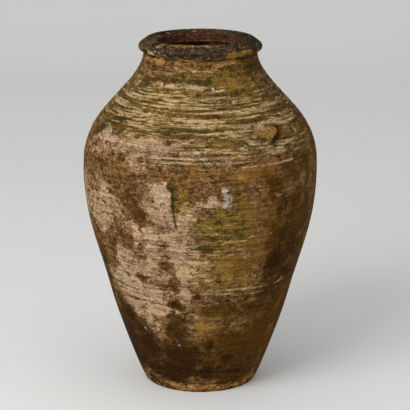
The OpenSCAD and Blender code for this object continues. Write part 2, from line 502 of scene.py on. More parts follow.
def rim_section():
    """Closed section of the rim, read from its CAD node and cut into short steps."""
    middle = (128 * MM, RIM_LOW.z + 20 * MM)
    step = 2.4 * MM
    radii, heights = corner_circles("rim")
    corners = sorted({(round(float(r), 5), round(float(z), 5)) for r, z in zip(radii, heights)})
    kept = []
    for corner in corners:
        if all(math.dist(corner, other) > 0.3 * MM for other in kept):
            kept.append(corner)
    kept.sort(key=lambda c: math.atan2(c[1] - middle[1], c[0] - middle[0]))
    start = min(range(len(kept)), key=lambda i: math.dist(kept[i], (OUTSIDE(NECK_TOP)[0], NECK_TOP)))
    kept = kept[start:] + kept[:start]
    points = []
    for a, b in zip(kept, kept[1:] + kept[:1]):
        steps = max(1, math.ceil(math.dist(a, b) / step))
        points += [(a[0] + (b[0] - a[0]) * i / steps, a[1] + (b[1] - a[1]) * i / steps)
                   for i in range(steps)]
    r, z = np.array(points).T
    run_r = np.roll(r, -1) - np.roll(r, 1)
    run_z = np.roll(z, -1) - np.roll(z, 1)
    size = np.hypot(run_r, run_z)
    hidden = (z < NECK_TOP + LAP + 0.1 * MM) & (r < OUTSIDE(NECK_TOP)[0] - 0.1 * MM)
    facing_r = run_z / size
    facing_z = -run_r / size
    slope = float(OUTSIDE(NECK_TOP)[1])
    facing_r[0] = 1 / math.hypot(1, slope)
    facing_z[0] = -slope / math.hypot(1, slope)
    return section_of([stretch(r, z, facing_r, facing_z, np.where(hidden, 0.0, 1.0))])


def ring_strength(z):
    """How strongly the throwing rings show at a height: full on the shoulder, faint elsewhere."""
    heights = [0.0, SLAB_TOP, SLAB_TOP + 0.02, 0.25, 0.45, SHOULDER_JOINT - 0.06, SHOULDER_JOINT,
               NECK_JOINT, NECK_JOINT + 0.02, NECK_TOP, RIM_HIGH.z]
    strength = [0.0, 0.0, 0.25, 0.35, 0.3, 0.5, 1.0, 1.0, 0.5, 0.35, 0.15]
    return np.interp(z, heights, strength)


def section_object(name, section):
    """A mesh of edges that carries the section and its facing, reach and ring strength."""
    count = len(section["r"])
    mesh = bpy.data.meshes.new(name + "_section")
    edges = [(i, i + 1) for i in range(count - 1)]
    if section["closed"]:
        edges.append((count - 1, 0))
    places = [(r, 0.0, z) for r, z in zip(section["r"], section["z"])]
    mesh.from_pydata(places, edges, [])
    values = {
        "section_r": section["r"], "section_z": section["z"],
        "facing_r": section["facing_r"], "facing_z": section["facing_z"],
        "reach": section["reach"], "rings": ring_strength(section["z"]),
    }
    for label, numbers in values.items():
        attribute = mesh.attributes.new(label, "FLOAT", "POINT")
        attribute.data.foreach_set("value", np.asarray(numbers, dtype=np.float32))
    made = bpy.data.objects.new(name + "_section", mesh)
    bpy.context.scene.collection.objects.link(made)
    return made


def turn_ring(name, section, finish):
    """Sweeps a section into a finished plain mesh object."""
    tree = bpy.data.node_groups.get("Thrown ring") or turning_tree(relief_group())
    maker = section_object(name, section)
    modifier = maker.modifiers.new("Thrown ring", "NODES")
    modifier.node_group = tree
    wanted = {
        "Columns": shape().columns, "Ring pitch": shape().ring_pitch,
        "Ring depth": shape().ring_depth, "Wobble depth": shape().wobble_depth,
        "Pit depth": shape().pit_depth, "Finish": finish,
    }
    for item in tree.interface.items_tree:
        if item.item_type == "SOCKET" and item.in_out == "INPUT" and item.name in wanted:
            modifier[item.identifier] = wanted[item.name]
    graph = bpy.context.evaluated_depsgraph_get()
    mesh = bpy.data.meshes.new_from_object(maker.evaluated_get(graph))
    maker.modifiers.remove(modifier)
    bpy.data.objects.remove(maker)
    mesh.name = name + "_skin"
    made = bpy.data.objects.new(name + "_skin", mesh)
    bpy.context.scene.collection.objects.link(made)
    carve(mesh)
    weather(mesh)
    settle(mesh)
    return made


# Relief and weathering, as places on the wall

def read_values(mesh, name, size=1):
    """A point attribute as an array."""
    key = "value" if size == 1 else "vector"
    flat = np.empty(len(mesh.vertices) * size, dtype=np.float32)
    mesh.attributes[name].data.foreach_get(key, flat)
    return flat if size == 1 else flat.reshape(-1, size)


def places_of(mesh):
    """Vertex places with their azimuth in degrees, radius and height."""
    flat = np.empty(len(mesh.vertices) * 3, dtype=np.float32)
    mesh.vertices.foreach_get("co", flat)
    co = flat.reshape(-1, 3).astype(float)
    azimuth = np.degrees(np.arctan2(co[:, 0], -co[:, 1]))
    return co, azimuth, np.hypot(co[:, 0], co[:, 1]), co[:, 2]


def smooth_step(low, high, value):
    t = np.clip((value - low) / (high - low), 0, 1)
    return t * t * (3 - 2 * t)


def blotch(azimuth, radius, height, centre, half_size, tilt=0.0, sways=None):
    """Falls from 1 at a place on the wall to 0 outside an oval, sizes in millimetres."""
    turn = (azimuth - centre[0] + 180) % 360 - 180
    across = np.radians(turn) * radius
    up = height - centre[1] * MM
    c, s = math.cos(math.radians(tilt)), math.sin(math.radians(tilt))
    u = (across * c + up * s) / (half_size[0] * MM)
    v = (up * c - across * s) / (half_size[1] * MM)
    if sways is not None:
        sway = sways[0 if min(half_size) < 26 else 1]
        u = u + 1.9 * sway[:, 0]
        v = v + 1.9 * sway[:, 1]
    return 1 - smooth_step(0.45, 1.35, np.hypot(u, v))


def stroke(azimuth, radius, height, line, half_width):
    """Falls from 1 on a line of (azimuth, height) points to 0 at its edge, in millimetres."""
    scale = np.radians(1) * radius
    nearest = np.full(len(azimuth), np.inf)
    for (a0, z0), (a1, z1) in zip(line, line[1:]):
        x = ((azimuth - a0 + 180) % 360 - 180) * scale
        y = height - z0 * MM
        run_x, run_y = (a1 - a0) * scale, (z1 - z0) * MM
        run_squared = np.maximum(run_x**2 + run_y**2, 1e-12)
        t = np.clip((x * run_x + y * run_y) / run_squared, 0, 1)
        nearest = np.minimum(nearest, np.hypot(x - t * run_x, y - t * run_y))
    return 1 - smooth_step(0.35, 1.3, nearest / (half_width * MM))


# Lines of the mark beside the pressed-on patch
MARK_ARC = [(35, 678), (40, 680), (52, 672), (59, 666), (61, 649)]
MARK_HOLLOW = [(48, 664), (44, 647), (38, 636)]
MARK_BRANCH = [(43, 641), (41.5, 620)]
MARK_RIDGE = [(44, 620), (46, 629), (50, 635), (58, 635)]
GASH = [(-13.2, 541), (-12.9, 520), (-12.9, 498), (-12.5, 478), (-11.8, 460), (-11.2, 446)]

# Cut and raised lines: points, half width and depth in millimetres
CUTS = [
    (MARK_HOLLOW, 7.0, 5.2), (MARK_BRANCH, 5.0, 4.0), (MARK_ARC, 4.0, -2.4),
    (MARK_RIDGE, 4.5, -3.4), ([(52, 660), (56, 646), (50, 641)], 6.0, 1.8),
    (GASH, 4.6, 2.0), ([(30, 646), (34, 634), (39, 628)], 5.0, -1.8),
]

# Hollows and swellings: azimuth, height, half width, half height, tilt, depth in millimetres
HOLLOWS = [
    # Crumbs and dents beside the mark
    (24, 649, 6, 4, 0, -1.6), (28, 641, 5, 4, 0, -1.5), (33, 632, 7, 4, 0, -1.8),
    (36, 626, 5, 4, 0, -1.4), (40, 628, 7, 8, 0, 1.6),
    # Head of the gash
    (-13.6, 549, 7, 7, 0, 1.8),
    # Low places on the belly and the lower wall
    (-32, 475, 34, 26, 0, 0.8),
    (4, 400, 30, 12, 0, 0.6),
    (-35, 310, 18, 14, 0, 0.8),
    (20, 290, 80, 4, 0, 0.6),
    # Chips along the foot
    (-28, 3, 9, 7, 0, 3.2),
    (-9, 25, 12, 5, 0, 1.6),
    (6, 2, 14, 6, 0, 3.4),
    (15, 24, 9, 4, 0, 1.4),
    (33, 3, 10, 6, 0, 3.0),
    (58, 2, 16, 6, 0, 3.2),
    (-55, 3, 12, 6, 0, 2.6),
    (120, 3, 18, 7, 0, 3.4),
    (-140, 3, 12, 6, 0, 3.0),
    (170, 4, 14, 8, 0, 3.0),
    # Chips and worn places on the rim
    (-19, 817, 10, 3, 0, 2.0),
    (9, 816, 5, 3, 0, 2.0),
    (-60, 829, 9, 6, 0, 1.8),
    (38, 818, 8, 3, 0, 1.6),
    (150, 830, 14, 6, 0, 2.4),
    (-110, 835, 10, 7, 0, 2.2),
    (-3, 848, 10, 3, 0, 1.2),
]


def carve(mesh):
    """Sinks the named hollows into the outside."""
    co, azimuth, radius, height = places_of(mesh)
    reach = read_values(mesh, "reach")
    facing_r = read_values(mesh, "facing_r")
    facing_z = read_values(mesh, "facing_z")
    depth = np.zeros(len(co))
    for at, up, half_w, half_h, tilt, deep in HOLLOWS:
        depth += deep * MM * blotch(azimuth, radius, height, (at, up), (half_w, half_h), tilt)
    for line, half_width, deep in CUTS:
        depth += deep * MM * stroke(azimuth, radius, height, line, half_width)
    depth *= (reach > 0.9)
    out = np.stack([co[:, 0] / np.maximum(radius, 1e-6) * facing_r,
                    co[:, 1] / np.maximum(radius, 1e-6) * facing_r, facing_z], -1)
    co -= out * depth[:, None]
    co[:, 2] = np.maximum(co[:, 2], 0)
    mesh.vertices.foreach_set("co", co.astype(np.float32).ravel())


# Growth and deposits, and painted shade and painted highlights at the entries noted: azimuth, height, half width, half
# height, tilt, strength
LIME_AND_HIGHLIGHT = [
    (-64, 492, 120, 66, 0, 0.74), (-58, 440, 90, 45, 0, 0.56), (-48, 520, 50, 30, 0, 0.50),
    (-7, 472, 36, 32, 0, 0.55), (-24, 488, 30, 24, 0, 0.66), (3, 335, 40, 50, 0, 0.38),
    (-38, 475, 44, 44, 0, 0.34), (24, 400, 40, 50, 0, 0.24), (-66, 425, 60, 40, 0, 0.50), (-62, 380, 40, 26, 0, 0.30),
    (-9, 420, 40, 80, 0, 0.34), (-22, 400, 50, 90, 0, 0.24), (6, 325, 44, 34, 0, 0.10),
    (-7, 228, 34, 18, 0, 0.55),
    (-42, 632, 105, 24, 0, 0.78), (-60, 642, 26, 22, 0, 0.72), (-12, 624, 95, 15, 0, 0.60),
    (-68, 600, 60, 26, 0, 0.55), (-31, 588, 34, 26, 0, 0.60), (-24, 640, 60, 14, 0, 0.62),
    (-17, 525, 23, 42, 0, 1.00), (-14, 465, 17, 42, 8, 0.95), (-11, 405, 18, 48, 5, 1.00),
    (-9.5, 340, 12, 42, 3, 0.85), (-8.5, 270, 20, 30, 0, 0.80),
    (-24, 400, 60, 80, 0, 0.66), (-33, 430, 12, 46, 0, 0.72), (-26, 330, 40, 34, 0, 0.60),
    (-8, 400, 36, 60, 0, 0.55), (-24, 636, 80, 20, 0, 0.50), (-5, 330, 30, 40, 0, 0.46),
    (-20, 520, 40, 34, 0, 0.56),
    (-43, 347, 44, 38, 0, 0.82), (-46, 290, 70, 40, 0, 0.80), (-36, 235, 78, 34, 0, 0.84),
    (-33, 186, 30, 22, -12, 0.74), (-28, 272, 60, 28, 0, 0.68), (-45, 152, 22, 8, 0, 0.45),
    (-5, 503, 34, 26, 0, 0.56), (4, 515, 22, 17, 0, 0.85), (12, 508, 26, 14, 0, 0.70),
    (-2, 350, 36, 50, 0, 0.44), (-4, 480, 16, 20, 0, 0.50), (27, 520, 14, 26, 0, 0.40),
    (40, 522, 20, 14, 0, 0.34), (33, 425, 26, 10, 0, 0.34), (8, 606, 90, 9, 0, 0.50),
    (42, 591, 62, 4, 0, 0.62), (54, 290, 20, 4, 14, 0.46), (-15, 137, 6, 4, 0, 0.55),
    (1, 575, 8, 10, 0, 0.50), (13, 592, 12, 8, 0, 0.50), (30, 675, 60, 9, 0, 0.55),
    (-1, 758, 26, 7, 0, 0.72),
    (-25, 758, 70, 8, 0, 0.60), (-52, 778, 12, 5, 20, 0.30),
    # The first two patches below, on the top edge of the rim at the front, are a painted highlight on that edge
    (-18, 848, 40, 3, 0, 0.30), (-2, 849, 34, 2.4, 0, 0.34), (6, 818, 10, 3, 0, 0.55),
    (-47, 826, 42, 8, 0, 0.42), (-52, 843, 26, 6, 0, 0.34),
]
LIME_GAPS = [
    (-64, 520, 44, 26, 0, 0.45),     (-32, 475, 34, 28, 0, 0.80), (-36, 522, 22, 30, 0, 0.70), (-35, 311, 18, 13, 0, 0.85),
    (-62, 575, 60, 20, 0, 0.70), (-48, 520, 6, 5, 0, 0.90), (-53, 368, 16, 36, 0, 0.60),
    (-14, 300, 12, 24, 0, 0.60), (-31, 374, 12, 32, 0, 0.55), (-12.9, 520, 5, 46, 0, 1.00),
    (-13.6, 549, 10, 9, 0, 1.00), (-17, 403, 10, 5, 0, 0.70), (-17.5, 451, 8, 3, 0, 0.70),
    (-30, 604, 8, 10, 0, 0.50), (-52, 462, 14, 6, 0, 0.40), (-42, 252, 40, 4, 0, 0.55),
    (-70, 350, 60, 90, 0, 0.55), (-24, 248, 30, 4, 0, 0.50),
]
RING_LINES = [
    (-46, 700, 90, 56, 0, 0.60), (-4, 705, 76, 50, 0, 0.54), (20, 704, 70, 48, 0, 0.58),
    (-3, 700, 46, 28, 0, 0.34), (-30, 668, 70, 14, 0, 0.34),
    (180, 705, 420, 54, 0, 0.50), (180, 624, 400, 26, 0, 0.50),
    (52, 694, 90, 56, 0, 0.58), (-75, 700, 120, 50, 0, 0.36), (-10, 668, 170, 16, 0, 0.66),
    (0, 622, 200, 26, 0, 0.60), (55, 626, 90, 24, 0, 0.64), (38, 630, 60, 26, 0, 0.56), (-15, 788, 90, 12, 0, 0.46),
    (0, 420, 120, 60, 0, 0.40), (20, 285, 90, 24, 0, 0.48), (-50, 260, 90, 60, 0, 0.36),
]
RING_GAPS = [(-21, 703, 36, 14, 0, 0.34), (47, 652, 24, 19, 20, 0.88), (38, 661, 30, 10, 0, 0.88)]
OLIVE = [
    (-20, 715, 330, 66, 0, 0.58), (180, 715, 330, 62, 0, 0.52), (66, 610, 60, 110, 0, 0.62),
    (20, 482, 56, 60, 0, 0.50), (26, 400, 44, 50, 0, 0.44), (-25, 668, 115, 11, 0, 0.92), (-43, 660, 30, 9, 0, 0.90),
    (-66, 676, 56, 24, 0, 0.85), (6, 643, 78, 7, 0, 0.78), (27, 628, 34, 10, 0, 0.78),
    (25, 776, 66, 20, 0, 0.46), (52, 790, 70, 24, 0, 0.70), (-8.5, 512, 20, 36, 0, 0.90),
    (5, 470, 46, 30, 0, 0.72), (8, 436, 36, 30, 0, 0.85), (20, 442, 32, 26, 0, 0.82),
    (15, 352, 54, 46, 0, 0.40), (17, 300, 14, 32, 0, 0.40), (12, 232, 34, 18, 0, 0.56),
    (0, 616, 34, 6, 0, 0.62), (-3, 240, 28, 7, 0, 0.60), (66, 560, 30, 22, 0, 0.50),
    (33, 730, 60, 24, 0, 0.55), (16, 545, 12, 20, 0, 0.60),
]
OLIVE_GAPS = [(13.5, 335, 7, 60, 0, 0.9), (8.5, 330, 5, 40, 0, 0.6), (36, 659, 40, 16, 0, 0.90), (44, 650, 16, 16, 0, 0.60)]
MOSS = [
    (-13.8, 549, 11, 9, 0, 1.00), (-12.2, 468, 3.5, 22, 6, 0.80),
    (-53, 757, 26, 12, 0, 0.64), (5, 768, 22, 8, 0, 0.70),
    (-52, 682, 22, 6, 8, 0.70), (-69, 647, 26, 10, 24, 0.80), (-57, 668, 20, 5, -30, 0.60),
    (4, 401, 32, 12, 0, 0.80), (2, 440, 14, 10, 0, 0.50), (30, 793, 40, 10, 0, 0.60),
    (62, 790, 60, 22, 0, 0.66), (-22, 664, 100, 6, 0, 0.24), (40, 630, 10, 14, 0, 0.60),
    (48, 652, 20, 4, 40, 0.66), (20, 630, 40, 8, 0, 0.30), (62, 535, 20, 14, 0, 0.60),
    (2, 244, 24, 6, 0, 0.50),
]
RUST = [
    (25, 572, 92, 30, 0, 0.52), (20, 576, 18, 16, 0, 0.50), (6, 180, 44, 60, 0, 0.62),
    (3, 112, 26, 40, 0, 0.60), (11, 152, 8, 70, 0, 0.60), (60, 170, 120, 100, 0, 0.66),
    (30, 762, 22, 6, 0, 0.56), (20, 688, 15, 10, 0, 0.50), (32, 450, 70, 110, 0, 0.56),
    (40, 824, 34, 6, 0, 0.60), (-38, 605, 60, 26, 0, 0.26), (20, 350, 60, 80, 0, 0.50),
    (0, 808, 60, 8, 0, 0.45), (-15, 60, 40, 12, 0, 0.50), (28, 612, 110, 10, 0, 0.50),
    (-35, 715, 120, 20, 0, 0.22), (-20, 580, 160, 20, 0, 0.36), (25, 120, 60, 60, 0, 0.50),
    (0, 24, 300, 10, 0, 0.40), (60, 520, 60, 60, 0, 0.40), (20, 768, 50, 20, 0, 0.58), (51, 652, 24, 15, 0, 0.62),
]
# Dark stains, and painted shade where noted
STAIN_AND_SHADE = [
    (-40, 92, 200, 66, 0, 0.86), (180, 84, 330, 50, 0, 0.66), (-62, 165, 90, 52, 0, 0.66), (-16, 205, 24, 66, 0, 0.66),
    (-5, 62, 110, 20, 0, 0.62), (50, 352, 60, 92, 0, 0.54), (-35, 311, 18, 14, 0, 0.56),
    (-70, 330, 40, 60, 0, 0.40), (-48, 520, 6, 5, 0, 0.90), (10, 318, 5, 12, 0, 0.60),
    (-50, 58, 150, 36, 0, 0.60), (-62, 16, 70, 14, 0, 0.66),
    # The first patch below, a thin band all round at the ground, is painted shadow along the bottom edge of the foot
    (0, 0, 900, 4.5, 0, 0.85), (-30, 28, 60, 5, 0, 0.40), (-17, 403, 10, 5, 0, 0.60),
    (-3, 278, 12, 26, 0, 0.50), (44, 490, 40, 26, 0, 0.40),
]
MUSTARD = [
    (8, 322, 50, 36, 0, 0.60), (24, 786, 50, 16, 0, 0.62), (6, 345, 60, 56, 0, 0.94), (0, 440, 50, 50, 0, 0.40), (13.5, 335, 8, 60, 0, 0.90), (22, 300, 50, 24, 0, 0.46),
    (8, 150, 16, 44, 0, 0.56), (3, 196, 26, 22, 0, 0.48), (24, 574, 70, 26, 0, 0.22),
    (18, 430, 34, 40, 0, 0.42), (38, 658, 36, 12, 10, 0.95), (28, 764, 24, 10, 0, 0.66),
    (42, 827, 54, 9, 0, 0.95), (-50, 822, 40, 6, 0, 0.5), (25, 685, 60, 30, 0, 0.34), (-10, 700, 160, 50, 0, 0.30),
    (-5, 72, 40, 20, 0, 0.34), (-62, 810, 20, 6, 0, 0.40),
]
BARE = [
    (0, 13, 900, 10, 0, 0.56), (-4, 13, 90, 10, 0, 0.60), (-20, 20, 60, 7, 0, 0.26),
    (-44, 807, 16, 8, 0, 0.85), (22, 805, 34, 6, 8, 0.80), (-19, 817, 22, 3, 0, 0.60),
    (4, 4, 30, 5, 0, 0.30),
]
CHESTNUT = [
    (44, 130, 130, 120, 0, 0.90), (65, 190, 110, 180, 0, 0.90), (52, 350, 84, 110, 0, 0.86),
    (55, 460, 74, 70, 0, 0.80), (40, 540, 60, 50, 0, 0.62), (62, 575, 90, 30, 0, 0.74),
    (0, 62, 150, 34, 0, 0.72), (-40, 90, 200, 80, 0, 0.70), (-62, 170, 90, 60, 0, 0.72),
    (-16, 205, 26, 70, 0, 0.70), (-32, 476, 30, 24, 0, 0.60), (-35, 311, 18, 14, 0, 0.60),
    (-75, 330, 70, 110, 0, 0.60), (-63, 578, 50, 18, 0, 0.45), (-36, 525, 24, 34, 0, 0.45),
    (12, 232, 70, 18, 0, 0.50), (25, 235, 70, 30, 0, 0.56), (-78, 250, 40, 100, 0, 0.60),
    (24, 292, 50, 12, 0, 0.50), (38, 430, 30, 60, 0, 0.56), (45.5, 650, 13, 13, 30, 0.62), (80, 500, 40, 200, 0, 0.60), (5, 560, 90, 14, 0, 0.34),
    (-50, 784, 12, 5, 0, 0.44), (58, 800, 50, 30, 0, 0.62), (-15, 300, 12, 24, 0, 0.5),
    (75, 120, 66, 120, 0, 0.76), (56, 56, 60, 34, 0, 0.80), (-76, 90, 60, 80, 0, 0.70),
    (70, 700, 50, 70, 0, 0.30), (-31, 374, 12, 32, 0, 0.5), (-53, 368, 16, 36, 0, 0.5),
]
# The first three patches, a pale blue-white spot high on the belly at azimuth 11 to 12, are a painted highlight; the
# rest are chalky bloom
CHALK_AND_HIGHLIGHT = [
    (11.5, 546, 7, 9, 0, 0.66), (12, 526, 14, 18, 0, 0.34), (11, 508, 20, 9, 0, 0.30),
    (-17, 522, 16, 34, 0, 0.26), (10, 753, 3, 3, 0, 0.70), (-15, 138, 4, 2, 0, 0.60),
]
# Lines of growth or deposit, and of painted shade and painted highlights where noted: points, half width in
# millimetres and strength
LINES = {
    "moss": [
        (MARK_HOLLOW, 6, 0.30), (MARK_BRANCH, 5, 0.30), ([(57, 663), (59, 645)], 5, 0.6),
        (GASH, 4.0, 0.62), (GASH[:3], 6, 0.75), ([(-61, 746), (-53, 764), (-40, 771), (-10, 771), (8, 768)], 6, 0.66),
        ([(-68, 664), (-61, 676), (-50, 682)], 5, 0.75), ([(-74, 632), (-66, 650)], 10, 0.7),
    ],
    "lime": [
        (MARK_ARC, 5, 0.80), (MARK_RIDGE, 4.5, 0.84), ([(20, 592), (50, 594)], 3, 0.62),
        ([(31, 670), (41, 668)], 4, 0.6), ([(30, 660), (39, 654)], 3, 0.6),
        ([(26, 640), (33, 646)], 4, 0.6), ([(-58, 823), (-36, 819), (0, 817), (22, 819)], 2, 0.56),
        ([(24, 650), (33, 633), (40, 627)], 7, 0.55), ([(51, 288), (56, 292)], 2, 0.55),
        # The first line below, along the top edge of the rim at the front, is a painted highlight
        ([(-46, 845), (-20, 847), (12, 847)], 2, 0.30), ([(-58, 826), (-40, 816)], 4, 0.32),
        ([(-11, 448), (-9.6, 400), (-10.5, 330), (-8, 262)], 12, 0.66),
        ([(-21, 545), (-18, 520), (-17, 480), (-13, 440)], 20, 0.85),
    ],
    "mustard": [
        ([(33, 668), (43, 661), (37, 645)], 10, 0.95), ([(13, 380), (13.5, 300)], 4, 0.80),
        # The last line below, along the top edge of the rim at the front, is a painted highlight
        ([(26, 822), (40, 826), (53, 828)], 7, 0.85), ([(-46, 845), (-20, 847), (12, 847)], 3, 0.5),
    ],
    "bare": [
        ([(12, 797), (22, 804), (36, 812)], 6, 0.84), ([(-25, 816), (-8, 815)], 2.5, 0.70),
        ([(-52, 808), (-40, 806)], 6, 0.72), ([(33, 668), (44, 663), (38, 648)], 7, 0.78),
    ],
    # These stain lines are painted shade: in the mark's hollow and its branch, and in the crevice of the gash
    "stain": [(MARK_HOLLOW, 7, 0.55), (MARK_BRANCH, 5, 0.5), (GASH, 2.6, 0.85), (GASH[:3], 4, 0.7)],
    # Chestnut along the mark's hollow and its branch is a warm dark stain with painted shade in the hollow
    "chestnut": [
        (MARK_HOLLOW, 8, 0.95), (MARK_BRANCH, 7, 0.9), (GASH, 5.0, 0.7),
        ([(-44, 420), (-34, 372), (-31, 330)], 10, 0.45),
    ],
}

# The sides and back, which the photograph doesn't show: how many patches of each kind, then the
# ranges of height, half width, half height and strength
UNSEEN = {
    "lime": (17, (230, 650), (34, 90), (16, 48), (0.50, 0.84)),
    "olive": (10, (380, 770), (30, 100), (10, 34), (0.50, 0.80)),
    "rust": (9, (60, 640), (30, 90), (20, 80), (0.40, 0.60)),
    "mustard": (7, (150, 720), (24, 60), (14, 50), (0.40, 0.70)),
    "chestnut": (14, (60, 600), (40, 110), (24, 100), (0.50, 0.85)),
    "stain": (9, (50, 320), (40, 120), (20, 66), (0.50, 0.82)),
    "moss": (8, (560, 800), (20, 60), (5, 14), (0.50, 0.85)),
    "bare": (4, (796, 812), (12, 26), (4, 7), (0.60, 0.85)),
}
UNSEEN_AZIMUTHS = (98, 264)
SEED = 5

PATINA = {
    "lime": (LIME_AND_HIGHLIGHT, LIME_GAPS), "ring_lines": (RING_LINES, RING_GAPS), "olive": (OLIVE, OLIVE_GAPS),
    "moss": (MOSS, []), "rust": (RUST, []), "stain": (STAIN_AND_SHADE, []), "chestnut": (CHESTNUT, []),
    "mustard": (MUSTARD, []), "bare": (BARE, [(-46, 12, 50, 14, 0, 0.55)]), "chalk": (CHALK_AND_HIGHLIGHT, []),
}


def scattered(name):
    """Patches of one kind strewn over the unseen sides and back, the same each time."""
    count, *ranges = UNSEEN.get(name, (0,) + ((0, 0),) * 4)
    pick = np.random.default_rng(SEED + len(name))
    places = []
    for _ in range(count):
        at = pick.uniform(*UNSEEN_AZIMUTHS)
        up, half_w, half_h, strength = (pick.uniform(*limits) for limits in ranges)
        places.append((at, up, half_w, half_h, pick.uniform(-8, 8), strength))
    return places


def weather(mesh):
    """Lays each kind of growth or deposit, some of which also hold painted shade and painted highlights, on the
    vertices as a named value from 0 to 1.
    """
    co, azimuth, radius, height = places_of(mesh)
    sways = None
    if "small_sway" in mesh.attributes:
        sways = [read_values(mesh, name, 3) - 0.5 for name in ("small_sway", "large_sway")]
    for name, (places, gaps) in PATINA.items():
        amount = np.zeros(len(co))
        for at, up, half_w, half_h, tilt, strength in places + scattered(name):
            patch = strength * blotch(
                azimuth, radius, height, (at, up), (half_w, half_h), tilt, sways)
            amount = amount + patch * (1 - amount)
        for at, up, half_w, half_h, tilt, strength in gaps:
            amount *= 1 - strength * blotch(
                azimuth, radius, height, (at, up), (half_w, half_h), tilt, sways)
        for line, half_width, strength in LINES.get(name, []):
            patch = strength * stroke(azimuth, radius, height, line, half_width)
            amount = amount + patch * (1 - amount)
        store(mesh, name, amount)
    limit = np.where(height < NECK_TOP, OUTSIDE(height)[0] - 7 * MM, INNER_LIP)
    inner = smooth_step(0, 4 * MM, limit - radius) * smooth_step(2 * MM, 4 * MM, height)
    store(mesh, "inner", inner)


def store(mesh, name, amount):
    """Keeps one value per vertex under a name."""
    attribute = mesh.attributes.new(name, "FLOAT", "POINT")
    attribute.data.foreach_set("value", np.asarray(amount, dtype=np.float32))


def settle(mesh):
    """Shades the surface smoothly, keeps its true corners and drops the helper values."""
    corner = math.radians(52)
    for name in ("turn", "section_r", "section_z", "facing_r", "facing_z", "rings", "reach",
                 "small_sway", "large_sway"):
        if name in mesh.attributes:
            mesh.attributes.remove(mesh.attributes[name])
    mesh.shade_smooth()
    mesh.set_sharp_from_angle(angle=corner)


# Finishes

def ragged_group():
    """Turns a smooth cover from 0 to 1 into a patch whose edge breaks up into specks."""
    tree, given, result = new_group("Ragged cover", "ShaderNodeTree", [
        ("Cover", "NodeSocketFloat", 0.5), ("Stretch", "NodeSocketVector", (1.0, 1.0, 1.0)),
        ("Shift", "NodeSocketVector", (0.0, 0.0, 0.0)), ("Scale", "NodeSocketFloat", 40.0),
        ("Spread", "NodeSocketFloat", 3.0), ("Softness", "NodeSocketFloat", 0.15),
        ("Fineness", "NodeSocketFloat", 0.7)],
        [("Mask", "NodeSocketFloat")])
    place = tree.nodes.new("ShaderNodeTexCoord").outputs["Object"]
    moved = stretched(tree, place, given["Stretch"], given["Shift"])
    grain = noise_of(tree, moved, given["Scale"], 5.0, given["Fineness"])
    present = maths(tree, "MULTIPLY", given["Cover"], 6.0, clamp=True)
    spread = maths(tree, "MULTIPLY", given["Spread"], present)
    shifted = maths(tree, "MULTIPLY", maths(tree, "SUBTRACT", grain, 0.5), spread)
    level = maths(tree, "ADD", given["Cover"], shifted)
    low = maths(tree, "SUBTRACT", 0.5, given["Softness"])
    high = maths(tree, "ADD", 0.5, given["Softness"])
    connect(tree, ramp(tree, level, low, high), result["Mask"])
    return tree


def line_group():
    """Fine level lines left by the potter's fingers, from 0 in a groove to 1 on a ridge."""
    tree, given, result = new_group("Throwing lines", "ShaderNodeTree", [
        ("Lines per metre", "NodeSocketFloat", 170.0)], [("Ridge", "NodeSocketFloat")])
    place = tree.nodes.new("ShaderNodeTexCoord").outputs["Object"]
    bend = noise_of(tree, stretched(tree, place, (5.0, 5.0, 9.0)), 1.0, 2.0)
    lift = node(tree, "ShaderNodeCombineXYZ", {2: maths(tree, "MULTIPLY", bend, 0.012)})
    bent = node(tree, "ShaderNodeVectorMath", {0: place, 1: lift.outputs[0]}, operation="ADD")
    pull = node(tree, "ShaderNodeCombineXYZ", {0: 7.0, 1: 7.0, 2: given["Lines per metre"]})
    level = noise_of(tree, stretched(tree, bent.outputs[0], pull.outputs[0]), 1.0, 3.0, 0.65)
    connect(tree, ramp(tree, level, 0.34, 0.66), result["Ridge"])
    return tree


def group_named(name, build):
    """A node group that is built once."""
    return bpy.data.node_groups.get(name) or build()


def place_group(tree, group, values):
    """Adds a group to a tree with its input values."""
    made = node(tree, "ShaderNodeGroup", node_tree=group)
    for label, value in values.items():
        connect(tree, value, made.inputs[label])
    return made.outputs


# How far settled dirt darkens the colour under it
DIRT = (0.26, 0.22, 0.15, 1.0)


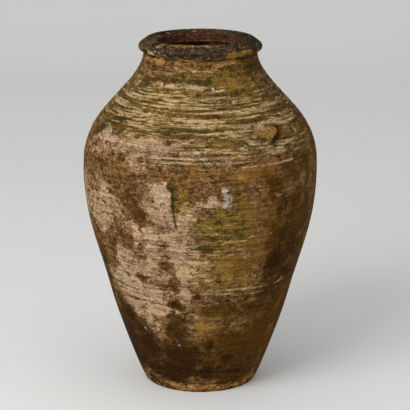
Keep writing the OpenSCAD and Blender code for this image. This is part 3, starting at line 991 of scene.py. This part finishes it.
def patina_group():
    """Lays stain, growth, lime and chalky bloom over a clay colour, with painted shade and painted highlights among
    them, and gives their height and roughness.
    """
    tree, given, result = new_group("Patina", "ShaderNodeTree", [
        ("Clay", "NodeSocketColor", (0.2, 0.1, 0.04, 1)),
        ("Second clay", "NodeSocketColor", (0.18, 0.1, 0.05, 1)),
        ("Mottling", "NodeSocketFloat", 0.46), ("Flecks", "NodeSocketFloat", 0.30),
        ("Lime gain", "NodeSocketFloat", 0.0)],
        [("Colour", "NodeSocketColor"), ("Roughness", "NodeSocketFloat"),
         ("Height", "NodeSocketFloat")])
    ragged = group_named("Ragged cover", ragged_group)
    lines = group_named("Throwing lines", line_group)
    place = tree.nodes.new("ShaderNodeTexCoord").outputs["Object"]

    def amount(name):
        return node(tree, "ShaderNodeAttribute", attribute_name=name).outputs["Fac"]

    def cover(value, stretch_by, scale, spread, softness, shift, fineness=0.72):
        level = amount(value) if isinstance(value, str) else value
        return place_group(tree, ragged, {
            "Cover": level, "Stretch": stretch_by, "Scale": scale, "Spread": spread,
            "Softness": softness, "Shift": (shift, shift * 0.7, -shift),
            "Fineness": fineness})["Mask"]

    def lay(body, mask, strength, over):
        return mix_colour(tree, maths(tree, "MULTIPLY", mask, strength), body, over)

    ridge = amount("ridge")
    fine_lines = place_group(tree, lines, {})["Ridge"]
    broad = noise_of(tree, place, 9.0, 3.0)
    grain = noise_of(tree, stretched(tree, place, (1.0, 1.0, 1.4)), 230.0, 4.0, 0.75)

    # Clay with dark specks and pale flecks, fewer of them where it is stained brown
    calm = ramp(tree, maths(tree, "MAXIMUM", amount("rust"), amount("chestnut")), 0.2, 0.6, 1.0, 0.4)
    body = mix_colour(tree, ramp(tree, broad, 0.35, 0.65), given["Clay"], given["Second clay"])
    specks = cover(given["Mottling"], (1.0, 1.0, 1.5), 70.0, 3.8, 0.1, 1.3, 0.66)
    body = lay(body, specks, 0.80, tone("umber"))
    flecks = cover(given["Flecks"], (1.0, 1.0, 2.2), 85.0, 3.6, 0.08, 4.1, 0.66)
    body = lay(body, maths(tree, "MULTIPLY", flecks, calm), 0.6, tone("tan"))

    # Stains and growth, with painted shade and a painted highlight among them as noted
    rust = cover("rust", (1.0, 1.0, 0.6), 34.0, 3.2, 0.32, 2.7, 0.6)
    body = lay(body, rust, 0.72, tone("rust"))
    # Golden lichen, and a painted highlight along the top edge of the rim at the front
    mustard = cover("mustard", (1.0, 1.0, 0.5), 36.0, 3.2, 0.3, 15.6, 0.6)
    body = lay(body, mustard, 0.8, tone("mustard"))
    olive = cover("olive", (1.0, 1.0, 2.2), 30.0, 3.2, 0.28, 6.2, 0.62)
    body = lay(body, olive, 0.84, tone("olive"))
    tufts = cover(0.36, (1.0, 1.0, 1.8), 56.0, 3.8, 0.14, 21.3, 0.66)
    dirty = mix_colour(tree, 1.0, body, DIRT, "MULTIPLY")
    body = lay(body, maths(tree, "MULTIPLY", tufts, calm), 0.72, dirty)
    # Chestnut stains, with painted shade in the mark's hollow
    chestnut = cover("chestnut", (1.0, 1.0, 0.8), 26.0, 3.1, 0.46, 5.5, 0.66)
    body = lay(body, chestnut, 0.84, tone("chestnut"))
    # Dark stains, with painted shade along the bottom edge of the foot, in the mark's hollow and along the gash
    stain = cover("stain", (1.0, 1.0, 0.9), 28.0, 3.0, 0.46, 7.9, 0.66)
    body = lay(body, stain, 0.88, tone("chocolate"))
    bare = cover("bare", (1.0, 1.0, 1.2), 56.0, 3.6, 0.26, 17.3)
    sandy = ramp(tree, noise_of(tree, place, 90.0, 4.0, 0.7), 0.42, 0.64)
    fired = mix_colour(tree, sandy, tone("terracotta"), tone("sand"))
    body = lay(body, bare, 0.84, fired)

    # Lime crust, thin at its edges and pitted down to the clay below; the lime mask also paints a highlight along the
    # top edge of the rim at the front
    lime_and_highlight_level = maths(tree, "ADD", amount("lime"), given["Lime gain"])
    thin = cover(lime_and_highlight_level, (1.0, 1.0, 1.7), 40.0, 3.4, 0.09, 9.4)
    growth = maths(tree, "MAXIMUM", amount("olive"), amount("mustard"))
    stained = ramp(tree, growth, 0.15, 0.7)
    body = lay(body, thin, 0.84, mix_colour(tree, stained, tone("thin_lime"), tone("straw")))
    thick_level = maths(tree, "SUBTRACT", lime_and_highlight_level, 0.12)
    thick = cover(thick_level, (1.0, 1.0, 1.9), 48.0, 3.4, 0.1, 11.6)
    crusted = mix_colour(tree, stained, tone("lime"), tone("cream"))
    body = lay(body, maths(tree, "MULTIPLY", thick, thin), 0.88, crusted)
    cluster = ramp(tree, noise_of(tree, place, 22.0, 2.0), 0.38, 0.68, 0.03, 0.48)
    holes = cover(cluster, (1.0, 1.0, 2.6), 80.0, 3.4, 0.08, 3.3, 0.62)
    body = lay(body, maths(tree, "MULTIPLY", holes, thin), 0.7, tone("umber"))

    # Lime brushed along the ridges of the throwing rings
    caught = maths(tree, "MULTIPLY_ADD", ridge, 0.38, maths(tree, "MULTIPLY", fine_lines, 0.90))
    groove = ramp(tree, caught, 0.75, 0.3)
    body = lay(body, maths(tree, "MULTIPLY", groove, amount("ring_lines")), 0.62, tone("moss"))
    line_level = maths(tree, "MULTIPLY", amount("ring_lines"), caught)
    broken = cover(line_level, (1.0, 1.0, 6.0), 42.0, 3.4, 0.18, 8.8)
    broken = maths(tree, "MULTIPLY", broken, ramp(tree, fine_lines, 0.2, 0.6, 0.3, 1.0))
    body = lay(body, broken, 0.80, tone("cream"))
    moss = cover("moss", (1.0, 1.0, 2.0), 60.0, 2.6, 0.2, 12.5)
    body = lay(body, moss, 0.88, tone("moss"))
    # Chalky bloom, and a painted blue-white highlight on the belly
    chalk = cover("chalk", (1.0, 1.0, 1.0), 60.0, 3.0, 0.26, 14.2)
    body = lay(body, chalk, 0.78, tone("chalk"))

    # Unweathered clay inside the jar
    inner = mix_colour(tree, maths(tree, "MULTIPLY", specks, 0.7), tone("maroon"), tone("chocolate"))
    inner = lay(inner, flecks, 0.4, tone("thin_lime"))
    body = lay(body, amount("inner"), 1.0, inner)

    # Grain and level striping over everything
    grainy = maths(tree, "MULTIPLY_ADD", ramp(tree, grain, 0.36, 0.64), 0.90, 0.58)
    striped = maths(tree, "MULTIPLY_ADD", fine_lines, 0.44, 0.80)
    value = maths(tree, "MULTIPLY", grainy, striped)
    shade = node(tree, "ShaderNodeCombineXYZ", {0: value, 1: value, 2: value}).outputs[0]
    body = mix_colour(tree, 1.0, body, shade, "MULTIPLY")
    connect(tree, body, result["Colour"])

    crust = maths(tree, "MAXIMUM", maths(tree, "MULTIPLY", thin, 0.6), broken)
    height = maths(tree, "MULTIPLY_ADD", crust, 0.5, maths(tree, "MULTIPLY", fine_lines, 0.5))
    height = maths(tree, "MULTIPLY_ADD", grain, 0.6, height)
    height = maths(tree, "MULTIPLY_ADD", specks, -0.35, height)
    height = maths(tree, "MULTIPLY_ADD", holes, -0.3, height)
    connect(tree, height, result["Height"])
    rough = maths(tree, "MULTIPLY_ADD", crust, 0.1, 0.82)
    rough = maths(tree, "MULTIPLY_ADD", moss, -0.08, rough)
    connect(tree, rough, result["Roughness"])
    return tree


def clay_finish(name, clay, second, mottling=0.46, flecks=0.30, relief=1.3 * MM):
    """Material of one ring: its own clay colours under the shared patina."""
    material = bpy.data.materials.new(name)
    material.use_nodes = True
    tree = material.node_tree
    shader = tree.nodes["Principled BSDF"]
    patina = place_group(tree, group_named("Patina", patina_group), {
        "Clay": tone(clay), "Second clay": tone(second), "Mottling": mottling,
        "Flecks": flecks})
    bump = node(tree, "ShaderNodeBump", {"Height": patina["Height"], "Distance": relief,
                                         "Strength": 0.8})
    connect(tree, patina["Colour"], shader.inputs["Base Color"])
    connect(tree, patina["Roughness"], shader.inputs["Roughness"])
    connect(tree, bump.outputs[0], shader.inputs["Normal"])
    shader.inputs["Specular IOR Level"].default_value = 0.03
    shader.inputs["Specular Tint"].default_value = (0.95, 0.6, 0.32, 1)
    material.diffuse_color = tone(clay)
    return material


# Pieces

RING_FINISHES = {
    "lower_wall": ("Stained clay", "clay", "mauve"),
    "lower_belly": ("Limed clay", "clay", "mauve"),
    "upper_belly": ("Mossy clay", "clay", "mauve"),
    "shoulder": ("Ringed clay", "clay", "mauve"),
    "neck": ("Neck clay", "clay", "mauve"),
}


def stand_for(piece, name):
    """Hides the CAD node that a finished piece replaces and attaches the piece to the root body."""
    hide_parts(name)
    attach(piece, "root")


def patch_thickness(azimuth, radius, height):
    """Height of the pressed-on clay above the wall: a long lump and a low curved ridge."""
    lump = stroke(azimuth, radius, height, [(33, 668), (43, 661)], 13) * 5.2 * MM
    beak = stroke(azimuth, radius, height, [(43, 661), (37, 643)], 9) * 4.6 * MM
    ridge = stroke(azimuth, radius, height, MARK_RIDGE, 5) * 4.0 * MM
    return np.maximum(np.maximum(lump, beak), ridge)


def make_patch():
    """Closed sheet of clay that rises out of the shoulder where the lump is."""
    low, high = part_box("shoulder_patch")
    left, right, columns, rows = 27.5, 59.5, 140, 80
    sunk, under = 7 * MM, 10 * MM
    azimuth, height = np.meshgrid(np.linspace(left, right, columns),
                                  np.linspace(low.z, high.z, rows))
    radius, slope = OUTSIDE(height)
    size = np.sqrt(1 + slope**2)
    rough = np.array([noise.fractal(Vector((a * 0.5, h * 120, 3.0)), 0.6, 2.0, 4)
                      for a, h in zip(azimuth.ravel(), height.ravel())]).reshape(azimuth.shape)
    edge = np.minimum.reduce([azimuth - left, right - azimuth]) / 2
    edge = np.clip(np.minimum(edge, np.minimum(height - low.z, high.z - height) / (4 * MM)), 0, 1)
    flat = [values.ravel() for values in (azimuth, radius, height)]
    thick = patch_thickness(*flat).reshape(azimuth.shape) * edge * (1 + 0.3 * rough)
    sinking = sunk * (1 - smooth_step(0, 2 * MM, thick))
    turn = np.radians(azimuth)

    def sheet(lift):
        r = radius + lift / size
        z = height - lift * slope / size
        return np.stack([r * np.sin(turn), -r * np.cos(turn), z], -1).reshape(-1, 3)

    points = np.concatenate([sheet(thick - sinking), sheet(np.full_like(thick, -under))])
    count = columns * rows
    faces = []
    for row in range(rows - 1):
        for column in range(columns - 1):
            i = row * columns + column
            faces.append((i, i + 1, i + 1 + columns, i + columns))
            faces.append(tuple(count + j for j in (i + columns, i + 1 + columns, i + 1, i)))
    border = ([i for i in range(columns)]
              + [row * columns + columns - 1 for row in range(1, rows)]
              + [(rows - 1) * columns + i for i in range(columns - 2, -1, -1)]
              + [row * columns for row in range(rows - 2, 0, -1)])
    for i, j in zip(border, border[1:] + border[:1]):
        faces.append((j, i, count + i, count + j))
    mesh = bpy.data.meshes.new("shoulder_patch_skin")
    mesh.from_pydata(points.tolist(), [], faces)
    made = bpy.data.objects.new("shoulder_patch_skin", mesh)
    bpy.context.scene.collection.objects.link(made)
    mesh.materials.append(clay_finish("Patch clay", "clay", "mauve"))
    weather(mesh)
    settle(mesh)
    return made


class JAR_OT_base_slab(bpy.types.Operator):
    """Make the foot slab with its bare, chipped edge"""

    bl_idname = "jar.base_slab"
    bl_label = "Foot slab"

    def execute(self, context):
        finish = clay_finish("Bare clay", "rust", "chestnut")
        stand_for(turn_ring("base_slab", slab_section(), finish), "base_slab")
        return {"FINISHED"}


class JAR_OT_wall_rings(bpy.types.Operator):
    """Make the five thrown rings of the wall"""

    bl_idname = "jar.wall_rings"
    bl_label = "Wall rings"

    def execute(self, context):
        for name in WALL_RINGS:
            finish = clay_finish(*RING_FINISHES[name])
            stand_for(turn_ring(name, wall_section(name), finish), name)
        return {"FINISHED"}


class JAR_OT_rim(bpy.types.Operator):
    """Make the rolled rim"""

    bl_idname = "jar.rim"
    bl_label = "Rim"

    def execute(self, context):
        finish = clay_finish("Rim clay", "charcoal", "smoke", mottling=0.26, flecks=0.18)
        stand_for(turn_ring("rim", rim_section(), finish), "rim")
        return {"FINISHED"}


class JAR_OT_shoulder_patch(bpy.types.Operator):
    """Make the lump of clay pressed on the shoulder"""

    bl_idname = "jar.shoulder_patch"
    bl_label = "Shoulder patch"

    def execute(self, context):
        stand_for(make_patch(), "shoulder_patch")
        return {"FINISHED"}


# Stage

IMAGE_SIDE = 410
SENSOR = 36.0
FOCAL_PIXELS = 1714.8
AXIS_COLUMN = 200.4
CAMERA_PLACE = (0.0, -4.0477, 1.5134)
CAMERA_PITCH = 14.920


def make_floor():
    """One pale sheet that runs from the floor up into the backdrop."""
    settings = bpy.context.scene.jar_stage
    half_width, front, back, top, bend = 9.0, -7.0, 5.5, 6.0, 1.6
    steps = 24
    line = [(front, 0.0)]
    line += [(back - bend + bend * math.sin(t), bend - bend * math.cos(t))
             for t in np.linspace(0, math.pi / 2, steps)]
    line.append((back, top))
    points = [(x, y, z) for y, z in line for x in (-half_width, half_width)]
    faces = [(2 * i, 2 * i + 1, 2 * i + 3, 2 * i + 2) for i in range(len(line) - 1)]
    mesh = bpy.data.meshes.new("floor")
    mesh.from_pydata(points, [], faces)
    mesh.shade_smooth()
    floor = bpy.data.objects.new("floor", mesh)
    bpy.context.scene.collection.objects.link(floor)
    material = bpy.data.materials.new("Pale floor")
    material.use_nodes = True
    shader = material.node_tree.nodes["Principled BSDF"]
    shader.inputs["Base Color"].default_value = (*settings.floor, 1.0)
    shader.inputs["Roughness"].default_value = 0.8
    mesh.materials.append(material)


def make_lamp(name, place, target, side, power):
    """A soft square lamp that faces a target."""
    light = bpy.data.lights.new(name, "AREA")
    light.energy = power
    light.size = side
    lamp = bpy.data.objects.new(name, light)
    lamp.location = place
    lamp.rotation_euler = (Vector(target) - Vector(place)).to_track_quat("-Z", "Y").to_euler()
    bpy.context.scene.collection.objects.link(lamp)


def make_camera():
    """Camera at the photographed viewing angle."""
    data = bpy.data.cameras.new("camera")
    data.sensor_width = SENSOR
    data.lens = FOCAL_PIXELS / IMAGE_SIDE * SENSOR
    data.shift_x = (IMAGE_SIDE / 2 - AXIS_COLUMN) / IMAGE_SIDE
    data.clip_end = 50
    camera = bpy.data.objects.new("camera", data)
    camera.location = CAMERA_PLACE
    camera.rotation_euler = (math.radians(90 - CAMERA_PITCH), 0, 0)
    bpy.context.scene.collection.objects.link(camera)
    bpy.context.scene.camera = camera


class JAR_OT_stage(bpy.types.Operator):
    """Make the floor, lamps, even light and camera"""

    bl_idname = "jar.stage"
    bl_label = "Stage"

    def execute(self, context):
        settings = context.scene.jar_stage
        aim = (0, 0, 0.45)
        make_floor()
        make_lamp("key lamp", (-2.2, -2.8, 2.9), aim, 2.4, settings.key)
        make_lamp("fill lamp", (3.2, -2.6, 1.8), aim, 2.6, settings.fill)
        world = bpy.data.worlds.new("even light")
        world.use_nodes = True
        background = world.node_tree.nodes["Background"]
        background.inputs["Color"].default_value = (1, 1, 1, 1)
        background.inputs["Strength"].default_value = settings.sky
        context.scene.world = world
        context.scene.view_settings.view_transform = "Standard"
        make_camera()
        return {"FINISHED"}


class JAR_PT_sidebar(bpy.types.Panel):
    """Lists the jar's pieces and settings"""

    bl_idname = "JAR_PT_sidebar"
    bl_label = "Clay jar"
    bl_space_type = "VIEW_3D"
    bl_region_type = "UI"
    bl_category = "Clay Jar"

    def draw(self, context):
        layout = self.layout
        for operator in OPERATORS:
            layout.operator(operator.bl_idname)
        for holder in (context.scene.jar_shape, context.scene.jar_colours,
                       context.scene.jar_stage):
            box = layout.box()
            for name in holder.__annotations__:
                box.prop(holder, name)


SETTINGS = {
    "jar_shape": JarShapeSettings,
    "jar_colours": JarColourSettings,
    "jar_stage": JarStageSettings,
}
OPERATORS = (JAR_OT_base_slab, JAR_OT_wall_rings, JAR_OT_rim, JAR_OT_shoulder_patch, JAR_OT_stage)


def register():
    for name, settings in SETTINGS.items():
        bpy.utils.register_class(settings)
        setattr(bpy.types.Scene, name, bpy.props.PointerProperty(type=settings))
    for made in OPERATORS + (JAR_PT_sidebar,):
        bpy.utils.register_class(made)


def unregister():
    for made in (JAR_PT_sidebar,) + OPERATORS[::-1]:
        bpy.utils.unregister_class(made)
    for name, settings in reversed(SETTINGS.items()):
        delattr(bpy.types.Scene, name)
        bpy.utils.unregister_class(settings)


def main():
    register()
    bpy.ops.jar.base_slab()
    bpy.ops.jar.wall_rings()
    bpy.ops.jar.rim()
    bpy.ops.jar.shoulder_patch()
    bpy.ops.jar.stage()


if __name__ == "__main__":
    main()
